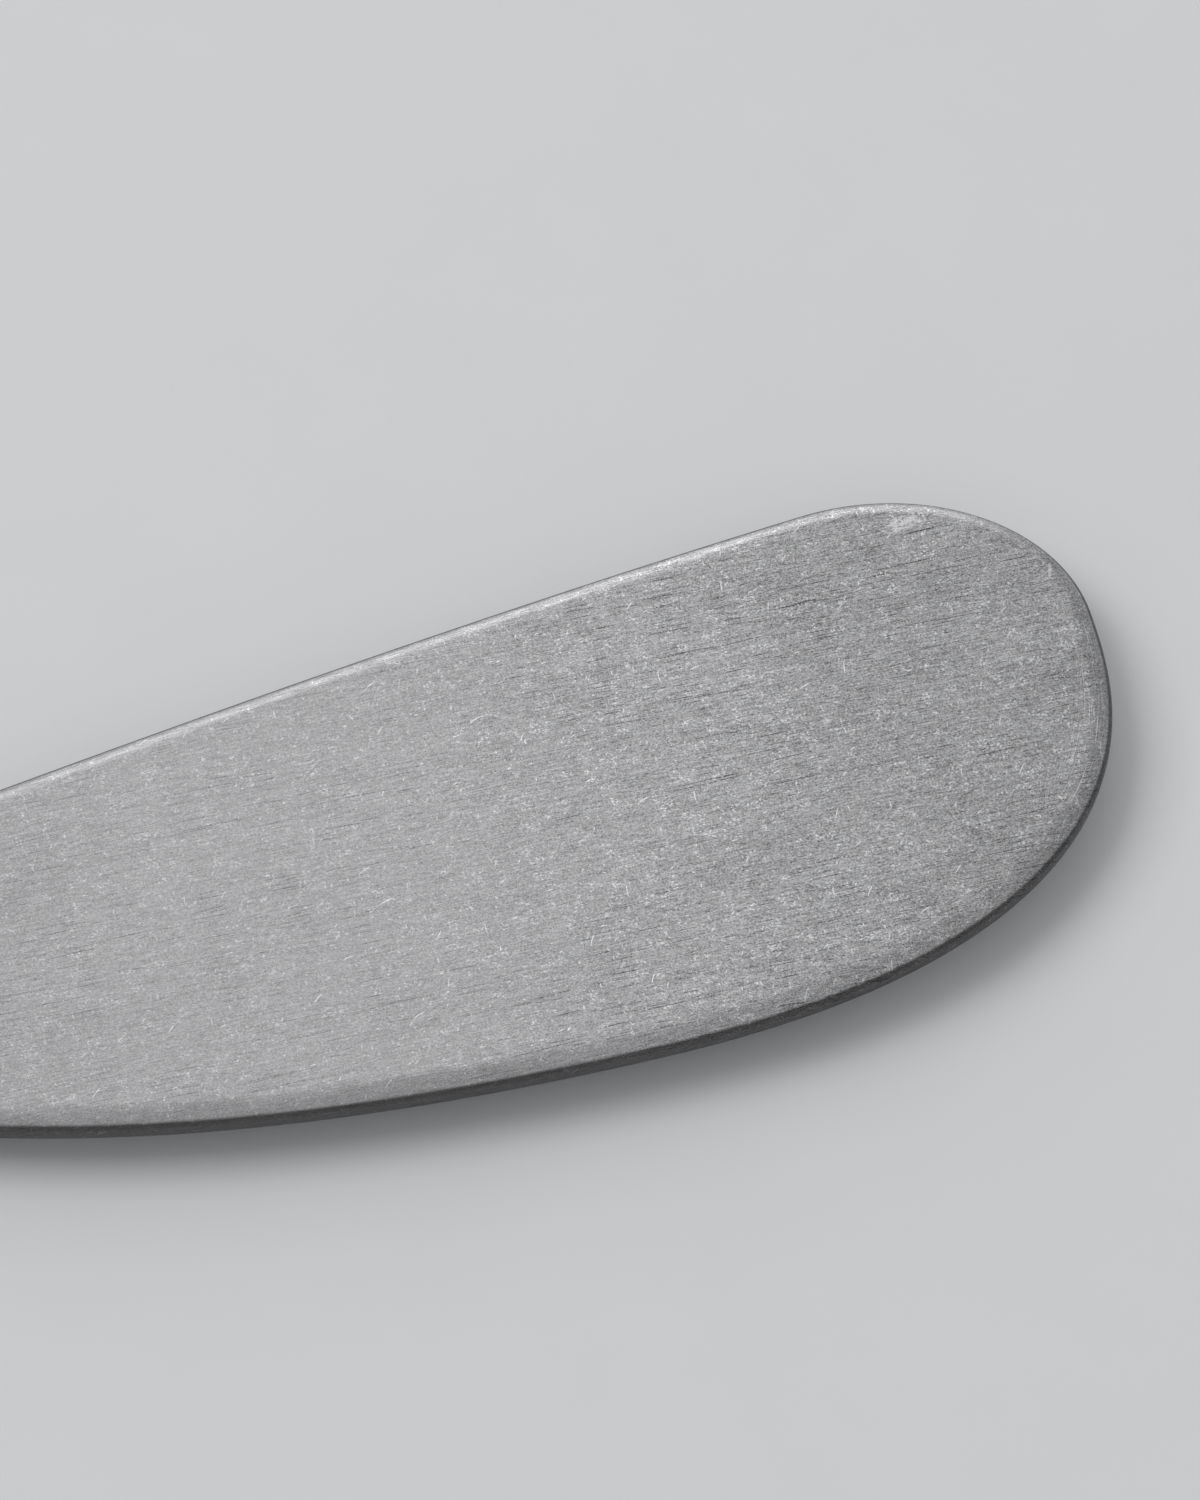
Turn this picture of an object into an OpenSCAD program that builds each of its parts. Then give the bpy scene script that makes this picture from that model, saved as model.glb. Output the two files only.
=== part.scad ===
// Butter knife: a stamped paddle blade whose tang is cemented into a flat hollow
// steel handle. The knife lies on its side: +X runs to the tip, +Y to the spine,
// +Z is up through the thickness, and the handle's flat underside is at Z = 0.

/* [Blade] */
// Length of the blade, from the bolster to the tip
blade_len = 72; // [60:1:90]
// Thickness of the sheet that the blade and its tang are stamped from
blade_t = 1.5; // [1.2:0.1:2]
// Height of the blade's highest point above the knife's axis
spine_rise = 12.7; // [10:0.1:16]
// Depth of the belly's lowest point below the axis
belly_drop = 11.3; // [9:0.1:15]
// Height of the foremost point above the axis
tip_rise = 5; // [2:0.1:7]
// Length of the round nose, from its highest point to the tip
nose_len = 9.7; // [6:0.1:14]
// Length from the belly's lowest point to the tip
belly_len = 26; // [18:1:34]
// Angle at which the spine runs into the nose, in degrees
spine_angle = 6; // [3:0.5:9]
// Fullness of the curve from belly to tip: 2 is an ellipse, more is squarer
belly_power = 2.45; // [2:0.05:3]
// Width of the neck
neck_w = 8; // [7:0.1:10]
// Length of the straight neck in front of the bolster
neck_len = 3; // [1:0.5:6]
// Width of the tumbled round-over along the spine
spine_round = 0.9; // [0.5:0.05:1.2]
// Width of the softer round-over along the belly
belly_round = 1.1; // [0.5:0.05:1.5]
// Height of the square land left round the edge
edge_land = 0.3; // [0.2:0.05:0.6]

/* [Tang] */
// Length of the tang behind the handle's mouth
tang_len = 58; // [40:1:70]
// Width of the tang at the handle's mouth
tang_w = 5.6; // [4.5:0.1:6]
// Width of the tang at its end
tang_end_w = 4; // [3:0.1:4.5]
// Diameter of the holes through which the cement locks
lock_hole_d = 2; // [1:0.1:2.4]
// Number of lock holes
lock_holes = 3; // [1:1:5]
// Depth of the notches in the tang's edges
notch_depth = 0.7; // [0.3:0.1:0.9]

/* [Bolster] */
// Length of the bolster between the handle's mouth and the blade
bolster_len = 7; // [5:0.5:12]
// Steel round the neck at the bolster's front
bolster_lip = 0.4; // [0.3:0.05:0.8]
// Round-over of the bolster's front edge
lip_round = 0.25; // [0.1:0.05:0.3]
// Depth to which the neck is let into the bolster
pocket_depth = 3; // [2:0.5:4]
// Length of the spigot that plugs the handle's mouth
spigot_len = 4; // [3:0.5:8]

/* [Handle] */
// Length of the handle behind the bolster
handle_len = 93; // [80:1:110]
// Thickness of the handle
handle_t = 5; // [4.4:0.1:7]
// Width of the handle at its mouth
mouth_w = 9.4; // [9:0.1:12]
// Width of the handle where the grip is widest
grip_w = 16; // [13:0.5:20]
// Length of the round butt
butt_len = 9; // [6:0.5:12]
// Wall of the two pressed half shells
shell_wall = 0.6; // [0.5:0.05:0.8]

/* [Joints] */
// Thickness of the braze between the half shells
seam_braze_t = 0.15; // [0.1:0.05:0.3]
// Thickness of the braze between the bolster and the handle's mouth
collar_braze_t = 0.15; // [0.1:0.05:0.3]
// Gap round a piece that slides into another
fit_gap = 0.05; // [0.02:0.01:0.1]

/* [Hidden] */

// Length by which a cut or an overlap runs on past its face
overrun = 0.5;

// Colours of the tumbled steel, the pale braze and the cement
steel_tone = [0.66, 0.66, 0.67];
braze_tone = [0.76, 0.74, 0.66];
cement_tone = [0.55, 0.53, 0.5];

// Pull of the spine's curve at the nose and at the neck, shares of its chord
spine_pull_shares = [0.48, 0.06];
// Pull of the belly's curve at its lowest point and at the neck
belly_pull_shares = [0.64, 0.24];
// How much of the half width each side of the handle and bolster rounds over
side_round_share = 0.42;

// Numbers of steps along curves
spine_steps = 26;
nose_steps = 22;
belly_steps = 20;
bow_steps = 28;
edge_steps = 5;
grip_steps = 16;
butt_steps = 24;
side_steps = 7;
bolster_steps = 8;
lip_steps = 3;
hole_steps = 48;

// Places along the axis, counted from the handle's mouth
bolster_front = bolster_len;
pocket_floor = bolster_front - pocket_depth;
neck_front = bolster_front + neck_len;
tip_x = bolster_front + blade_len;
grip_end = -(handle_len - butt_len);

// The knife's own box is centred on the origin in X and Y
mouth_x = (handle_len - bolster_len - blade_len) / 2;
axis_y = (belly_drop - spine_rise) / 2;
axis_z = handle_t / 2;

// Round-over of the handle's section at its mouth
mouth_round = side_round_share * mouth_w / 2;

function mix(a, b, share) = a + (b - a) * share;
function ease(share) = share * share * (3 - 2 * share);
function reversed(list) = [for (i = [len(list) - 1:-1:0]) list[i]];
function unit(v) = v / norm(v);

// Points of a cubic curve with its two end points and two pulls
function curve(a, b, c, d, steps) = [
    for (i = [0:steps])
        let (u = i / steps, v = 1 - u)
            v * v * v * a + 3 * v * v * u * b + 3 * v * u * u * c + u * u * u * d
];

// Outward normals of a counter-clockwise outline whose ends are cut square to X
function outline_normals(loop) = [
    for (i = [0:len(loop) - 1])
        i == 0 ? [0, sign(loop[0].y)] :
        i == len(loop) - 1 ? [0, sign(loop[i].y)] :
        let (t = unit(loop[i + 1] - loop[i - 1])) [t.y, -t.x]
];

// An outline moved inwards by a distance
function moved_in(loop, distance) =
    let (n = outline_normals(loop))
        [for (i = [0:len(loop) - 1]) loop[i] - n[i] * distance];

// An outline whose square end is carried on along X by a run
function carried_on(loop, run) = [
    for (i = [0:len(loop) - 1])
        loop[i] + [(i == 0 || i == len(loop) - 1) ? run : 0, 0]
];

// Levels of a quarter-round edge above a land, as [share of the round, height]
function round_levels(land, half_t, steps) = [
    for (i = [0:steps])
        let (a = 90 * i / steps)
            [1 - cos(a), land / 2 + (half_t - land / 2) * sin(a)]
];
function below(levels) = [for (level = reversed(levels)) [level[0], -level[1]]];
function both_sides(levels) = concat(below(levels), levels);

function quad(a, b, c, d) = [[a, b, c], [a, c, d]];

// Triangles that close an outline of n points, joining its two sides
function strip(n, first) = [
    for (i = [0:floor((n - 3) / 2)])
        each i + 1 == n - 2 - i ?
            [[first + i, first + i + 1, first + n - 1 - i]] :
            quad(first + i, first + i + 1, first + n - 2 - i, first + n - 1 - i)
];
function turned(faces) = [for (face = faces) reversed(face)];

// A flat form with rounded edges: the outline repeated at each level, moved
// inwards at each point by the level's share of that point's round-over. The
// triangles below the middle mirror the ones above it.
module rounded_plate(loop, rounds, levels) {
    n = len(loop);
    normals = outline_normals(loop);
    points = [
        for (level = levels)
            for (i = [0:n - 1])
                let (p = loop[i] - normals[i] * rounds[i] * level[0])
                    [p.x, p.y, level[1]]
    ];
    sides = [
        for (k = [0:len(levels) - 2])
            for (i = [0:n - 1])
                let (
                    j = (i + 1) % n,
                    a = k * n + i,
                    b = (k + 1) * n + i,
                    c = (k + 1) * n + j,
                    d = k * n + j
                )
                    each levels[k][1] < 0 ? quad(b, c, d, a) : quad(a, b, c, d)
    ];
    top = turned(strip(n, (len(levels) - 1) * n));
    polyhedron(points, concat(strip(n, 0), sides, top), convexity = 4);
}

// Outline of a flat oval section, across Y and up Z
function oval_section(half_w, levels, upper_round, lower_round) = concat(
    [for (level = levels) [half_w - upper_round * level[0], level[1]]],
    [for (level = reversed(levels)) [-half_w + lower_round * level[0], level[1]]]
);

// A form through sections, each a list of [y, z], at the places xs
module lofted(xs, sections) {
    n = len(sections[0]);
    last = len(xs) - 1;
    points = [
        for (s = [0:last])
            for (p = sections[s]) [xs[s], p.x, p.y]
    ];
    sides = [
        for (s = [0:last - 1])
            for (i = [0:n - 1])
                let (j = (i + 1) % n)
                    each quad(s * n + i, (s + 1) * n + i, (s + 1) * n + j, s * n + j)
    ];
    rear = [[for (i = [0:n - 1]) i]];
    front = [[for (i = [n - 1:-1:0]) last * n + i]];
    polyhedron(points, concat(rear, sides, front), convexity = 4);
}

// Carries an outline drawn across Y and Z along the axis
module along_axis(from, to) {
    translate([from, 0, 0])
        rotate([90, 0, 90])
            linear_extrude(to - from)
                children();
}

// Moves the knife from its own axis to its resting place
module placed() {
    translate([mouth_x, axis_y, axis_z]) children();
}

// The blade's outline, from the neck along the belly to the tip and back
function blade_outline() =
    let (
        nose_x = tip_x - nose_len,
        nose_rise = spine_rise - tip_rise,
        nose_end = 180 - atan((nose_rise / nose_len) / tan(spine_angle)),
        nose = [
            for (i = [0:nose_steps])
                let (a = nose_end * i / nose_steps)
                    [nose_x + nose_len * cos(a), tip_rise + nose_rise * sin(a)]
        ],
        bow_drop = belly_drop + tip_rise,
        bow_x = tip_x - belly_len,
        bow = [
            for (i = [0:bow_steps])
                let (a = 90 * (1 - i / bow_steps))
                    [
                        bow_x + belly_len * pow(cos(a), 2 / belly_power),
                        tip_rise - bow_drop * pow(sin(a), 2 / belly_power)
                    ]
        ],
        shoulder = nose[nose_steps],
        lowest = bow[0],
        spine_foot = [neck_front, neck_w / 2],
        belly_foot = [neck_front, -neck_w / 2],
        spine_pulls = spine_pull_shares * norm(shoulder - spine_foot),
        belly_pulls = belly_pull_shares * norm(lowest - belly_foot),
        spine_way = [cos(spine_angle), sin(spine_angle)],
        spine = curve(
            shoulder,
            shoulder - spine_way * spine_pulls[0],
            spine_foot + [spine_pulls[1], 0],
            spine_foot,
            spine_steps
        ),
        belly = curve(
            belly_foot,
            belly_foot + [belly_pulls[1], 0],
            lowest - [belly_pulls[0], 0],
            lowest,
            belly_steps
        )
    )
    concat(
        [[pocket_floor, -neck_w / 2]],
        belly,
        [for (i = [1:bow_steps]) bow[i]],
        [for (i = [1:nose_steps]) nose[i]],
        [for (i = [1:spine_steps]) spine[i]],
        [[pocket_floor, neck_w / 2]]
    );

// Round-over at each point: narrower where the outline faces the spine's way
function blade_rounds(loop) = [
    for (n = outline_normals(loop)) mix(spine_round, belly_round, (1 - n.y) / 2)
];

// Section of the neck, with a gap round it
function neck_section(gap) = oval_section(
    neck_w / 2 + gap,
    both_sides(round_levels(edge_land, blade_t / 2 + gap, edge_steps)),
    spine_round,
    belly_round
);

// Half width of the grip, a share of the way from the mouth to its widest place
function grip_half_w(share) = mix(mouth_w, grip_w, ease(share)) / 2;

// The handle's outline, from its mouth round the butt and back
function handle_outline() =
    let (
        side = [
            for (i = [0:grip_steps])
                let (share = i / grip_steps) [grip_end * share, grip_half_w(share)]
        ],
        butt = [
            for (i = [1:butt_steps - 1])
                let (a = 90 + 180 * i / butt_steps)
                    [grip_end + butt_len * cos(a), grip_w / 2 * sin(a)]
        ]
    )
    concat(side, butt, [for (p = reversed(side)) [p.x, -p.y]]);

// Round-over at each point of that outline, less a wall
function handle_rounds(wall) =
    let (
        side = [
            for (i = [0:grip_steps]) side_round_share * grip_half_w(i / grip_steps) - wall
        ],
        butt = [for (i = [1:butt_steps - 1]) side_round_share * grip_w / 2 - wall]
    )
    concat(side, butt, reversed(side));

// Section of the handle at its mouth, less a wall
function mouth_section(wall) =
    let (round = mouth_round - wall)
        oval_section(
            mouth_w / 2 - wall,
            both_sides(round_levels(seam_braze_t, handle_t / 2 - wall, side_steps)),
            round,
            round
        );

// Flat strip behind the blade, with cement holes and notches
module tang() {
    pitch = tang_len / (lock_holes + 1);
    difference() {
        linear_extrude(blade_t, center = true)
            polygon([
                [pocket_floor + overrun, tang_w / 2],
                [0, tang_w / 2],
                [-tang_len, tang_end_w / 2],
                [-tang_len, -tang_end_w / 2],
                [0, -tang_w / 2],
                [pocket_floor + overrun, -tang_w / 2]
            ]);
        for (i = [1:lock_holes])
            translate([-pitch * i, 0, 0])
                cylinder(h = blade_t + 2 * overrun, d = lock_hole_d, center = true, $fn = hole_steps);
        for (i = [0:lock_holes], side = [-1, 1])
            let (x = -pitch * (i + 1 / 2), edge = mix(tang_w, tang_end_w, -x / tang_len) / 2)
                translate([x, side * (edge + lock_hole_d / 2 - notch_depth), 0])
                    cylinder(h = blade_t + 2 * overrun, d = lock_hole_d, center = true, $fn = hole_steps);
    }
}

// Paddle blade with its neck and tang, one stamping
module blade() {
    loop = blade_outline();
    levels = both_sides(round_levels(edge_land, blade_t / 2, edge_steps));
    color(steel_tone) placed() {
        rounded_plate(loop, blade_rounds(loop), levels);
        tang();
    }
}

// Collar between blade and handle: slotted for the neck and tang, with a spigot
module bolster() {
    lip_x = bolster_front - lip_round;
    lip_angles = [for (i = [1:lip_steps]) 90 * i / lip_steps];
    places = concat(
        [for (i = [0:bolster_steps]) mix(collar_braze_t, lip_x, i / bolster_steps)],
        [for (a = lip_angles) lip_x + lip_round * sin(a)]
    );
    trims = concat(
        [for (i = [0:bolster_steps]) 0],
        [for (a = lip_angles) lip_round * (1 - cos(a))]
    );
    sections = [
        for (i = [0:len(places) - 1])
            let (
                share = ease(min(1, (places[i] - collar_braze_t) / (lip_x - collar_braze_t))),
                half_w = mix(mouth_w, neck_w + 2 * bolster_lip, share) / 2 - trims[i],
                half_t = mix(handle_t, blade_t + 2 * bolster_lip, share) / 2 - trims[i],
                round = side_round_share * half_w
            )
            oval_section(
                half_w,
                both_sides(round_levels(seam_braze_t, half_t, side_steps)),
                round,
                round
            )
    ];
    slot_w = tang_w + 2 * fit_gap;
    slot_t = blade_t + 2 * fit_gap;
    color(steel_tone) placed()
        difference() {
            union() {
                lofted(places, sections);
                along_axis(-spigot_len, collar_braze_t + overrun)
                    polygon(mouth_section(shell_wall + fit_gap));
            }
            along_axis(pocket_floor - fit_gap, bolster_front + overrun)
                polygon(neck_section(fit_gap));
            translate([-spigot_len - overrun, -slot_w / 2, -slot_t / 2])
                cube([spigot_len + pocket_floor + 2 * overrun, slot_w, slot_t]);
        }
}

// One pressed half of the handle, above the seam
module half_shell() {
    outer = handle_outline();
    inner = carried_on(moved_in(outer, shell_wall), overrun);
    outer_levels = round_levels(seam_braze_t, handle_t / 2, side_steps);
    inner_levels = round_levels(seam_braze_t, handle_t / 2 - shell_wall, side_steps);
    difference() {
        rounded_plate(outer, handle_rounds(0), outer_levels);
        rounded_plate(
            inner,
            handle_rounds(shell_wall),
            concat([[0, seam_braze_t / 2 - overrun]], inner_levels)
        );
    }
}

module handle_shell_upper() {
    color(steel_tone) placed() half_shell();
}

module handle_shell_lower() {
    color(steel_tone) placed() mirror([0, 0, 1]) half_shell();
}

// Braze in the joint that runs round the handle between its half shells
module seam_braze() {
    outer = handle_outline();
    color(braze_tone) placed()
        linear_extrude(seam_braze_t, center = true)
            polygon(concat(outer, reversed(moved_in(outer, shell_wall))));
}

// Braze ring between the bolster's shoulder and the handle's mouth
module collar_braze() {
    color(braze_tone) placed()
        difference() {
            along_axis(0, collar_braze_t)
                polygon(mouth_section(0));
            along_axis(-overrun, collar_braze_t + overrun)
                polygon(mouth_section(shell_wall));
        }
}

// Cement that fills the handle behind the spigot and grips the tang
module tang_cement() {
    loop = moved_in(handle_outline(), shell_wall);
    levels = round_levels(seam_braze_t, handle_t / 2 - shell_wall, side_steps);
    color(cement_tone) placed()
        difference() {
            rounded_plate(loop, handle_rounds(shell_wall), both_sides(levels));
            translate([-spigot_len, -grip_w / 2, -handle_t / 2])
                cube([spigot_len + overrun, grip_w, handle_t]);
            tang();
        }
}

blade();
bolster();
handle_shell_upper();
handle_shell_lower();
seam_braze();
collar_braze();
tang_cement();
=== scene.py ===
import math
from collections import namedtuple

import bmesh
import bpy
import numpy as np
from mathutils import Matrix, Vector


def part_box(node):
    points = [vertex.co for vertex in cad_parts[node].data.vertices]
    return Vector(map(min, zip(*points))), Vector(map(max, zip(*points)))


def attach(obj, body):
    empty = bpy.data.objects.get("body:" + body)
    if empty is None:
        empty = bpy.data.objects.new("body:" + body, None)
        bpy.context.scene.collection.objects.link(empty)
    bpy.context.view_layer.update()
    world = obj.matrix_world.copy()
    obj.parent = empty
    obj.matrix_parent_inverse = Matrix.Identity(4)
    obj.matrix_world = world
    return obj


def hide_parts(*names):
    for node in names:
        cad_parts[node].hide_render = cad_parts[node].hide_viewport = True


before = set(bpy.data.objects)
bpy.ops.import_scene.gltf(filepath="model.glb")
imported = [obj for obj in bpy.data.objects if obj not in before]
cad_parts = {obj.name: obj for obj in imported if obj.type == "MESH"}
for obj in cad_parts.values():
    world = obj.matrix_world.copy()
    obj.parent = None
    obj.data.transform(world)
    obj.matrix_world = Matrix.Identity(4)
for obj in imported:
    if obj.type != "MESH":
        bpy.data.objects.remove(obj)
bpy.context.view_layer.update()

# Looks of a butter knife: blade, bolster and hollow handle of tumbled steel.
# Shapes are worked out in millimetres about the knife's own axis: x runs to the
# tip, y to the spine, z up from the middle of the thickness. Patterns read two
# attributes of the same unit: skin, the surface laid out flat, and rim, the way
# along the outline from the tip and the depth in from the rounded edge.

mm = 0.001


def corners(node):
    """Lowest and highest corner of a CAD node, in millimetres."""
    low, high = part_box(node)
    return np.array(low) / mm, np.array(high) / mm


blade_low, blade_high = corners("blade")
bolster_low, bolster_high = corners("bolster")
collar_low, collar_high = corners("collar_braze")
upper_low, upper_high = corners("handle_shell_upper")
lower_low, lower_high = corners("handle_shell_lower")

# The knife's axis
axis_y = (bolster_low[1] + bolster_high[1]) / 2
axis_z = (blade_low[2] + blade_high[2]) / 2
to_place = np.array([0.0, axis_y, axis_z])

# Blade
tip_x = blade_high[0]
blade_t = blade_high[2] - blade_low[2]
spine_rise = blade_high[1] - axis_y
belly_drop = axis_y - blade_low[1]
tip_rise = 5.0
nose_len = 9.7
belly_len = 26.0
spine_angle = math.radians(6)
belly_power = 2.45
spine_pulls = (0.48, 0.06)
belly_pulls = (0.64, 0.24)
neck_w = 8.0
neck_len = 3.0
spine_round = 0.9
belly_round = 1.1
edge_land = 0.3

# Bolster
bolster_front = bolster_high[0]
pocket_depth = 3.0
bolster_lip = 0.4
lip_round = 0.25
tang_w = 5.6
fit_gap = 0.05
slot_corner = 0.02

# Handle
mouth_x = collar_low[0]
butt_x = upper_low[0]
mouth_w = bolster_high[1] - bolster_low[1]
grip_w = upper_high[1] - upper_low[1]
handle_t = upper_high[2] - lower_low[2]
butt_len = 9.0
shell_wall = 0.6
side_round_share = 0.42
seam_t = upper_low[2] - lower_high[2]
braze_dish = 0.02

# Numbers of steps
edge_steps = 200
curve_samples = 1500
round_steps = 14
across_steps = 26
collar_steps = 48
lip_steps = 6

# Insets of the rows that run in on a flat behind its round-over
blade_run_ins = (0.05, 0.15, 0.35, 0.7, 1.2, 1.9)
shell_run_ins = (0.08, 0.25, 0.6, 1.2)

# Meshes: the grid that points are welded on and its shift off round numbers, the
# gap before the tang, the depth that counts as far from an edge, and the angle
# from which an edge is sharp
weld = 1e-5
weld_shift = 0.137
tang_gap = 0.002
far_in = 9.0
sharp_angle = math.radians(35)

# A patch is a grid of points with its skin and rim, closed along its rows or columns.
# An edge has points, outward normals, widths of the round-over and ways from the tip.
# A profile has, for each point over an edge, its share of that width, its inset and
# its height, and border is the point where the flat begins.
Patch = namedtuple("Patch", "points skin rim closed")
Edge = namedtuple("Edge", "points normals rounds along")
Profile = namedtuple("Profile", "share inset height border")
Grain = namedtuple("Grain", "length width detail shift")
Scratches = namedtuple("Scratches", "cell_length cell_width reach width bend kept turn spread seed")
Mark = namedtuple("Mark", "place reach width turn")
Step = namedtuple("Step", "start end low high", defaults=(0.0, 1.0))
Wear = namedtuple("Wear", "grain streaks depth along")


def ease(share):
    """Smooth step: three times the square less twice the cube."""
    return share * share * (3 - 2 * share)


def mix(a, b, share):
    """Straight mix of two values."""
    return a + (b - a) * share


def cubic(a, b, c, d):
    """Cubic curve with two end points and two pulls, as an array of points."""
    u = np.linspace(0, 1, curve_samples)[:, None]
    v = 1 - u
    ends = v ** 3 * np.array(a) + u ** 3 * np.array(d)
    return ends + 3 * v * v * u * np.array(b) + 3 * v * u * u * np.array(c)


def joined(*runs):
    """Runs of points as one path, each starting where the last one ends."""
    return np.concatenate([runs[0]] + [run[1:] for run in runs[1:]])


def lengths(path):
    """Length along a path at each of its points."""
    steps = np.linalg.norm(np.diff(path, axis=0), axis=1)
    return np.concatenate([[0], np.cumsum(steps)])


def edge_of(path, side, round_of):
    """An edge from its rear end to the tip in even steps.

    The normal is the tangent turned a quarter to the side, 1 left or -1 right.
    round_of gives the width of the round-over from the place and the normal.
    """
    along = lengths(path)
    stops = np.linspace(0, along[-1], edge_steps + 1)
    points = np.stack([np.interp(stops, along, path[:, k]) for k in (0, 1)], 1)
    tangents = np.gradient(path, along, axis=0)
    turned = side * np.stack([-tangents[:, 1], tangents[:, 0]], 1)
    normals = np.stack([np.interp(stops, along, turned[:, k]) for k in (0, 1)], 1)
    normals[0] = (0, math.copysign(1, path[0, 1]))
    normals[-1] = (math.copysign(1, path[-1, 0] - path[0, 0]), 0)
    normals /= np.linalg.norm(normals, axis=1)[:, None]
    return Edge(points, normals, round_of(points, normals), side * (along[-1] - stops))


def blade_edges():
    """The blade's belly edge and spine edge, both from the bolster's pocket to the tip.

    The nose is a quarter and more of an ellipse, the bow a quarter of a power
    curve whose sine and cosine are raised to two over the power. Cubic curves
    join them to the straight neck.
    """
    neck_front = bolster_front + neck_len
    rear_x = bolster_front - pocket_depth
    nose_rise = spine_rise - tip_rise
    nose_end = math.pi - math.atan(nose_rise / nose_len / math.tan(spine_angle))
    a = np.linspace(nose_end, 0, curve_samples)
    nose = np.stack([tip_x - nose_len + nose_len * np.cos(a), tip_rise + nose_rise * np.sin(a)], 1)
    a = np.linspace(math.pi / 2, 0, curve_samples)
    bow_x = np.abs(np.cos(a)) ** (2 / belly_power)
    bow_y = np.abs(np.sin(a)) ** (2 / belly_power)
    bow_drop = belly_drop + tip_rise
    bow = np.stack([tip_x - belly_len + belly_len * bow_x, tip_rise - bow_drop * bow_y], 1)
    bow[0, 0] = tip_x - belly_len
    bow[-1] = nose[-1]

    spine_foot = np.array([neck_front, neck_w / 2])
    chord = np.linalg.norm(nose[0] - spine_foot)
    way = np.array([math.cos(spine_angle), math.sin(spine_angle)])
    spine = cubic(
        spine_foot,
        spine_foot + [spine_pulls[1] * chord, 0],
        nose[0] - way * spine_pulls[0] * chord,
        nose[0],
    )
    belly_foot = np.array([neck_front, -neck_w / 2])
    chord = np.linalg.norm(bow[0] - belly_foot)
    belly = cubic(
        belly_foot,
        belly_foot + [belly_pulls[1] * chord, 0],
        bow[0] - [belly_pulls[0] * chord, 0],
        bow[0],
    )
    upper_neck = np.array([[rear_x, neck_w / 2], spine_foot])
    lower_neck = np.array([[rear_x, -neck_w / 2], belly_foot])

    def round_of(points, normals):
        return mix(spine_round, belly_round, (1 - normals[:, 1]) / 2)

    lower = edge_of(joined(lower_neck, belly, bow), -1, round_of)
    upper = edge_of(joined(upper_neck, spine, nose), 1, round_of)
    return lower, upper


def grip_half_w(x):
    """Half width of the handle at a place: a smooth step from the mouth to the grip."""
    share = np.clip((mouth_x - x) / (mouth_x - butt_x - butt_len), 0, 1)
    return mix(mouth_w, grip_w, ease(share)) / 2


def handle_edges():
    """The handle's two edges, from the mouth to the butt, which is half an ellipse."""
    grip_end = butt_x + butt_len
    x = np.linspace(mouth_x, grip_end, curve_samples)
    side = np.stack([x, grip_half_w(x)], 1)
    a = np.linspace(0, math.pi / 2, curve_samples)
    butt = np.stack([grip_end - butt_len * np.sin(a), grip_w / 2 * np.cos(a)], 1)
    butt[-1] = (butt_x, 0)
    path = joined(side, butt)

    def round_of(points, normals):
        return side_round_share * grip_half_w(points[:, 0])

    return edge_of(path * [1, -1], 1, round_of), edge_of(path, -1, round_of)


def profile(land, half_t, run_ins, from_middle):
    """The round-over of an edge, from its middle or its land up to the flat.

    share is one less the cosine of the angle, height the land plus the sine.
    run_ins are further insets on the flat, which keep the flat's shading flat.
    """
    a = np.linspace(0, math.pi / 2, round_steps + 1)
    start = [0.0] if from_middle else []
    share = np.concatenate([start, 1 - np.cos(a), np.ones(len(run_ins))])
    inset = np.concatenate([start, np.zeros(len(a)), run_ins])
    rise = land / 2 + (half_t - land / 2) * np.sin(a)
    height = np.concatenate([start, rise, np.full(len(run_ins), half_t)])
    return Profile(share, inset, height, len(start) + round_steps)


def rolled(edge, shape):
    """Points, skin and rim of the round-over carried along an edge."""
    out = edge.rounds[:, None] * shape.share + shape.inset
    plan = edge.points[:, None] - edge.normals[:, None] * out[..., None]
    height = np.broadcast_to(shape.height, out.shape)
    run = np.hypot(np.diff(out, axis=1), np.diff(height, axis=1))
    depth = np.concatenate([np.zeros((len(out), 1)), np.cumsum(run, axis=1)], 1)
    depth = depth - depth[:, [shape.border]]
    border = edge.points - edge.normals * edge.rounds[:, None]
    skin = border[:, None] - edge.normals[:, None] * depth[..., None]
    along = np.broadcast_to(edge.along[:, None], out.shape)
    return (
        np.dstack([plan, height]),
        np.dstack([skin, height]),
        np.dstack([along, depth, height]),
    )


def face_half(lower, upper, shape):
    """The upper half of a plate: one round-over, the flat, the other round-over."""
    sides = zip(rolled(lower, shape), rolled(upper, shape))
    share = np.linspace(0, 1, across_steps + 1)[1:-1, None]
    halves = []
    for a, b in sides:
        flat = mix(a[:, -1:], b[:, -1:], share)
        halves.append(np.concatenate([a, flat, b[:, ::-1]], 1))
    points, skin, rim = halves
    inner = slice(len(shape.share), -len(shape.share))
    across = points[:, -len(shape.share)] - points[:, len(shape.share) - 1]
    chord = np.linalg.norm(across, axis=1)
    nearest = np.minimum(share, 1 - share)[:, 0]
    rim[:, inner, 1] += chord[:, None] * nearest
    return points, skin, rim


def below(arrays):
    """The mirror image of a half below the middle."""
    return [array * [1, 1, -1] for array in arrays]


def around(first, second, shared):
    """A closed ring from one half and back along another, leaving out shared ends."""
    back = slice(-2, 0, -1) if shared else slice(None, None, -1)
    return [np.concatenate([a, b[:, back]], 1) for a, b in zip(first, second)]


def end_strip(first, second):
    """The end face between two halves, at their rear ends."""
    return [np.stack([a[0], b[0]]) for a, b in zip(first, second)]


def blade_patches():
    """The blade's plate: rings round its section, carried from the pocket to the tip."""
    lower, upper = blade_edges()
    top = face_half(lower, upper, profile(edge_land, blade_t / 2, blade_run_ins, from_middle=True))
    bottom = below(top)
    return [
        Patch(*around(top, bottom, True), (False, True)),
        Patch(*end_strip(top, bottom), (False, False)),
    ]


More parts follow.
